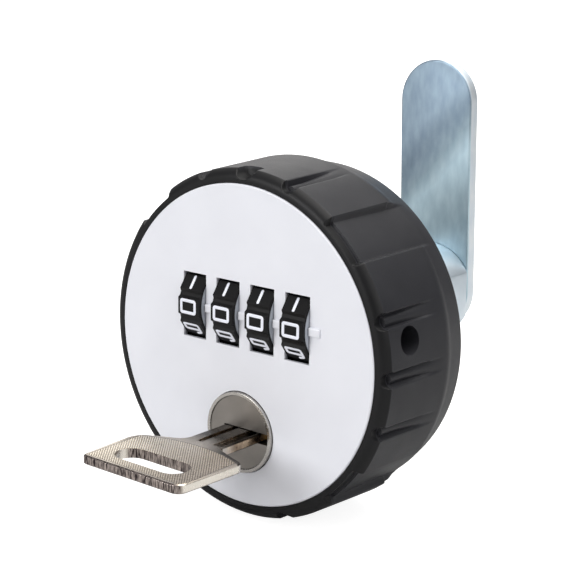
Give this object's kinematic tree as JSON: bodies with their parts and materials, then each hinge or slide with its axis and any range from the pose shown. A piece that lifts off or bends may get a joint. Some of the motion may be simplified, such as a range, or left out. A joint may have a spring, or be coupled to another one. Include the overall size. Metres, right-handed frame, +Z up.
{
  "type": "combination locker lock",
  "caption": "Round knob lock for locker doors with number wheels, a master key and a straight cam bar behind the door.",
  "frame": {"origin": "centre of the base's rear face, on the knob's axis and midway between the two fixing holes", "axes": "+Y along the barrel into the door, +Z up along the cam bar, +X to the right of somebody who faces the knob"},
  "size_m": [0.0576, 0.0856, 0.0704],
  "materials": {
    "ring_black": "fine moulded matt",
    "face_white": "satin moulded",
    "wheel_black": "moulded satin with white filled digits",
    "wheel_grey": "moulded satin",
    "housing_black": "moulded matt",
    "hub_black": "moulded matt",
    "base_zinc": "black painted die casting",
    "zinc_steel": "bright blue-white zinc plate",
    "plain_steel": "turned",
    "spring_steel": "tempered",
    "nickel": "satin nickel plate",
    "key_nickel": "nickel plate over brass",
    "wafer_brass": "stamped",
    "button_black": "moulded matt"
  },
  "bodies": {
    "base": {"base_plate": "base_zinc", "barrel": "zinc_steel", "barrel_screws": "plain_steel", "stop_pin": "plain_steel"},
    "knob": {"grip_ring": "ring_black", "faceplate": "face_white", "wheel_housing": "housing_black", "hub_plate": "hub_black", "ring_screws": "plain_steel", "hub_screws": "plain_steel", "spindle": "zinc_steel", "spindle_screws": "plain_steel", "cam_arm": "zinc_steel", "cam_washer": "zinc_steel", "cam_screw": "zinc_steel", "plug_sleeve": "nickel", "reset_spring": "spring_steel", "bolt_spring": "spring_steel", "detent_comb": "spring_steel", "comb_screws": "plain_steel"},
    "plug": {"key_plug": "nickel", "wafers": "wafer_brass", "plug_lever": "plain_steel", "plug_clip": "spring_steel"},
    "key": {"master_key": "key_nickel"},
    "reset": {"wheel_axle": "plain_steel", "reset_button": "button_black"},
    "bolt": {"locking_bolt": "plain_steel"},
    "wheel_1": {"number_ring_1": "wheel_black", "code_disc_1": "wheel_grey"},
    "wheel_2": {"number_ring_2": "wheel_black", "code_disc_2": "wheel_grey"},
    "wheel_3": {"number_ring_3": "wheel_black", "code_disc_3": "wheel_grey"},
    "wheel_4": {"number_ring_4": "wheel_black", "code_disc_4": "wheel_grey"}
  },
  "joints": [
    {"name": "knob_turn", "type": "hinge", "parent": "base", "child": "knob", "pos_m": [0, 0, 0], "axis": [0, 1, 0], "range_deg": [0, 90]},
    {"name": "key_turn", "type": "hinge", "parent": "knob", "child": "plug", "pos_m": [0, -0.0221, -0.01408], "axis": [0, 1, 0], "range_deg": [0, 90]},
    {"name": "key_slide", "type": "slide", "parent": "plug", "child": "key", "axis": [0, -1, 0], "range_m": [0, 0.0122]},
    {"name": "reset_press", "type": "slide", "parent": "knob", "child": "reset", "axis": [-1, 0, 0], "range_m": [0, 0.0012], "stiffness_N_per_m": 300, "springref_m": -0.0015, "deforming": ["reset_spring"]},
    {"name": "bolt_throw", "type": "slide", "parent": "knob", "child": "bolt", "axis": [0, 0, 1], "range_m": [0, 0.0018], "stiffness_N_per_m": 150, "springref_m": -0.002, "deforming": ["bolt_spring"]},
    {"name": "wheel_1_turn", "type": "hinge", "parent": "knob", "child": "wheel_1", "pos_m": [0, -0.0171, 0.00512], "axis": [1, 0, 0], "continuous": true},
    {"name": "wheel_2_turn", "type": "hinge", "parent": "knob", "child": "wheel_2", "pos_m": [0, -0.0171, 0.00512], "axis": [1, 0, 0], "continuous": true},
    {"name": "wheel_3_turn", "type": "hinge", "parent": "knob", "child": "wheel_3", "pos_m": [0, -0.0171, 0.00512], "axis": [1, 0, 0], "continuous": true},
    {"name": "wheel_4_turn", "type": "hinge", "parent": "knob", "child": "wheel_4", "pos_m": [0, -0.0171, 0.00512], "axis": [1, 0, 0], "continuous": true}
  ]
}
